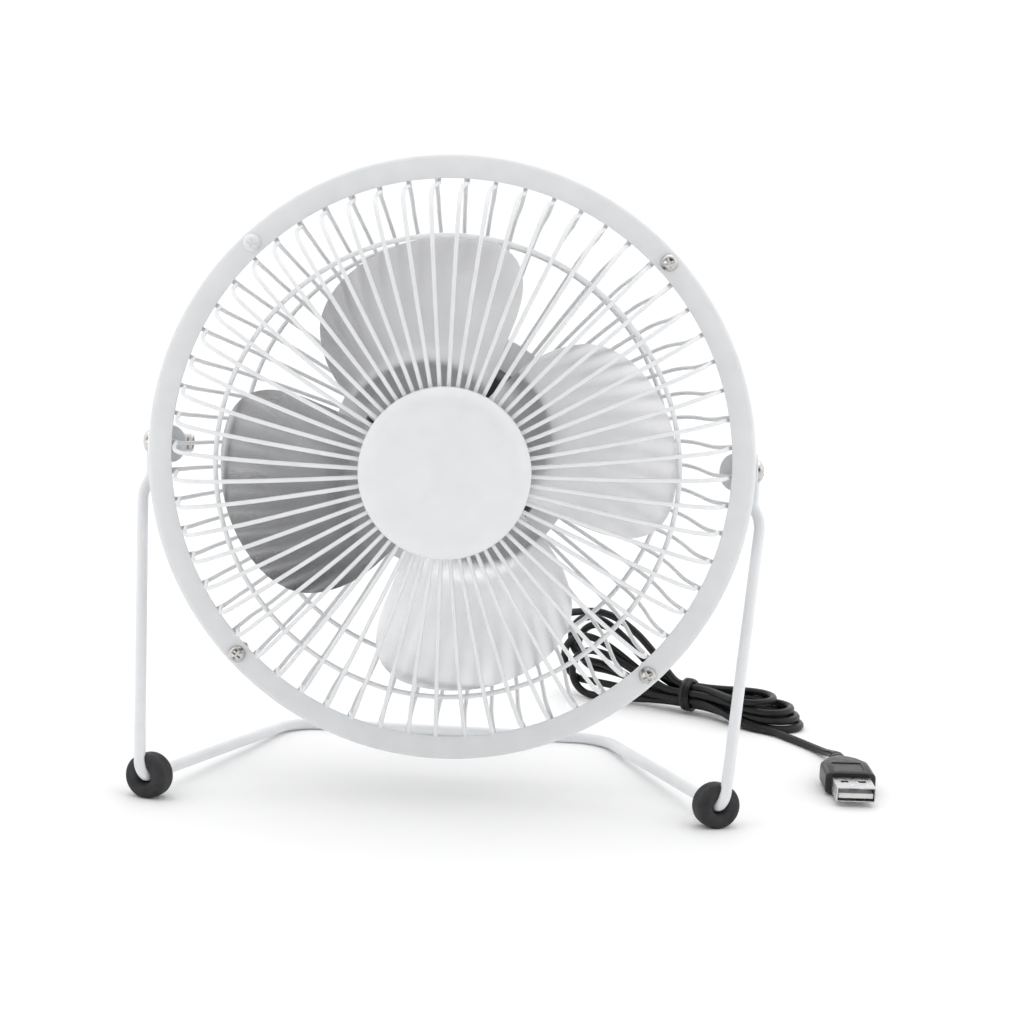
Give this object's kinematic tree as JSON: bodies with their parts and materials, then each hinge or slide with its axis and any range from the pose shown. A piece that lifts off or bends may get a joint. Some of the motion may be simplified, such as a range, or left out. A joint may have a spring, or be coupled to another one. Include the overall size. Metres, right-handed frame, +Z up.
{
  "type": "desk fan",
  "caption": "Small metal desk fan: a domed wire-guard head with sheet-metal paddles tilts between the ends of a bent-wire stand on rubber feet; its lead is tied in a hank.",
  "frame": {"origin": "on the floor under the middle of the fan's own box, measured without the lead and its plug", "axes": "+Z up, the fan blows towards -Y, +X to the right as seen from its front, the pivots lie along X"},
  "size_m": [0.2322, 0.1645, 0.193],
  "materials": {
    "white_paint": "satin cool-white enamel",
    "nickel": "nickel-plated",
    "aluminium_sheet": "fine brushed sheet",
    "black_plastic": "fine-grained moulding",
    "black_cord": "soft satin cable jacket",
    "black_rubber": "matt moulded rubber",
    "white_plastic": "smooth",
    "bronze": "sintered bronze",
    "iron_core": "lacquered windings on a laminated core",
    "ferrite": "ground ferrite"
  },
  "bodies": {
    "stand": {"stand_rod": "white_paint", "foot_left": "black_rubber", "foot_right": "black_rubber", "cord_tail": "black_cord", "cord_hank": "black_cord", "cord_tie": "black_cord", "cord_lead": "black_cord", "plug_body": "black_plastic", "plug_shell": "nickel", "plug_tongue": "white_plastic"},
    "head": {"front_grille": "white_paint", "rear_grille": "white_paint", "front_rim": "white_paint", "rear_cover": "black_plastic", "front_cap": "white_paint", "motor_housing": "black_plastic", "rear_rim": "white_paint", "motor_can": "nickel", "front_hoop": "white_paint", "rear_hoop": "white_paint", "cord_grommet": "black_rubber", "motor_end_bell": "black_plastic", "rim_screw_1": "nickel", "rim_screw_2": "nickel", "rim_screw_3": "nickel", "rim_screw_4": "nickel", "pivot_screw_left": "nickel", "pivot_screw_right": "nickel", "pivot_nut_left": "nickel", "pivot_spacer_left": "white_plastic", "pivot_spacer_right": "white_plastic", "front_bush": "bronze", "rear_bush": "bronze", "pivot_bracket_left": "white_paint", "pivot_bracket_right": "white_paint", "magnet_left": "ferrite", "magnet_right": "ferrite", "cover_screw_1": "nickel", "cover_screw_2": "nickel", "cover_screw_3": "nickel", "motor_screw_1": "nickel", "motor_screw_2": "nickel", "cap_nut": "nickel", "rim_nut_1": "nickel", "rim_nut_2": "nickel", "rim_nut_3": "nickel", "rim_nut_4": "nickel", "pivot_nut_right": "nickel", "switch_body": "black_plastic"},
    "impeller": {"impeller_blades": "aluminium_sheet", "impeller_hub": "black_plastic", "hub_washer": "nickel", "hub_nut": "nickel", "motor_shaft": "nickel", "armature": "iron_core"},
    "rocker": {"switch_rocker": "black_plastic"}
  },
  "joints": [
    {"name": "head_tilt", "type": "hinge", "parent": "stand", "child": "head", "pos_m": [0, 0.00432, 0.1], "axis": [-1, 0, 0], "range_deg": [-20, 45], "deforming": ["cord_tail"]},
    {"name": "impeller_spin", "type": "hinge", "parent": "head", "child": "impeller", "pos_m": [0, 0.00432, 0.1], "axis": [0, -0.9976, 0.0698], "continuous": true},
    {"name": "power_switch", "type": "hinge", "parent": "head", "child": "rocker", "pos_m": [0, 0.03653, 0.10476], "axis": [0, 0.0698, 0.9976], "range_deg": [0, 21]}
  ]
}
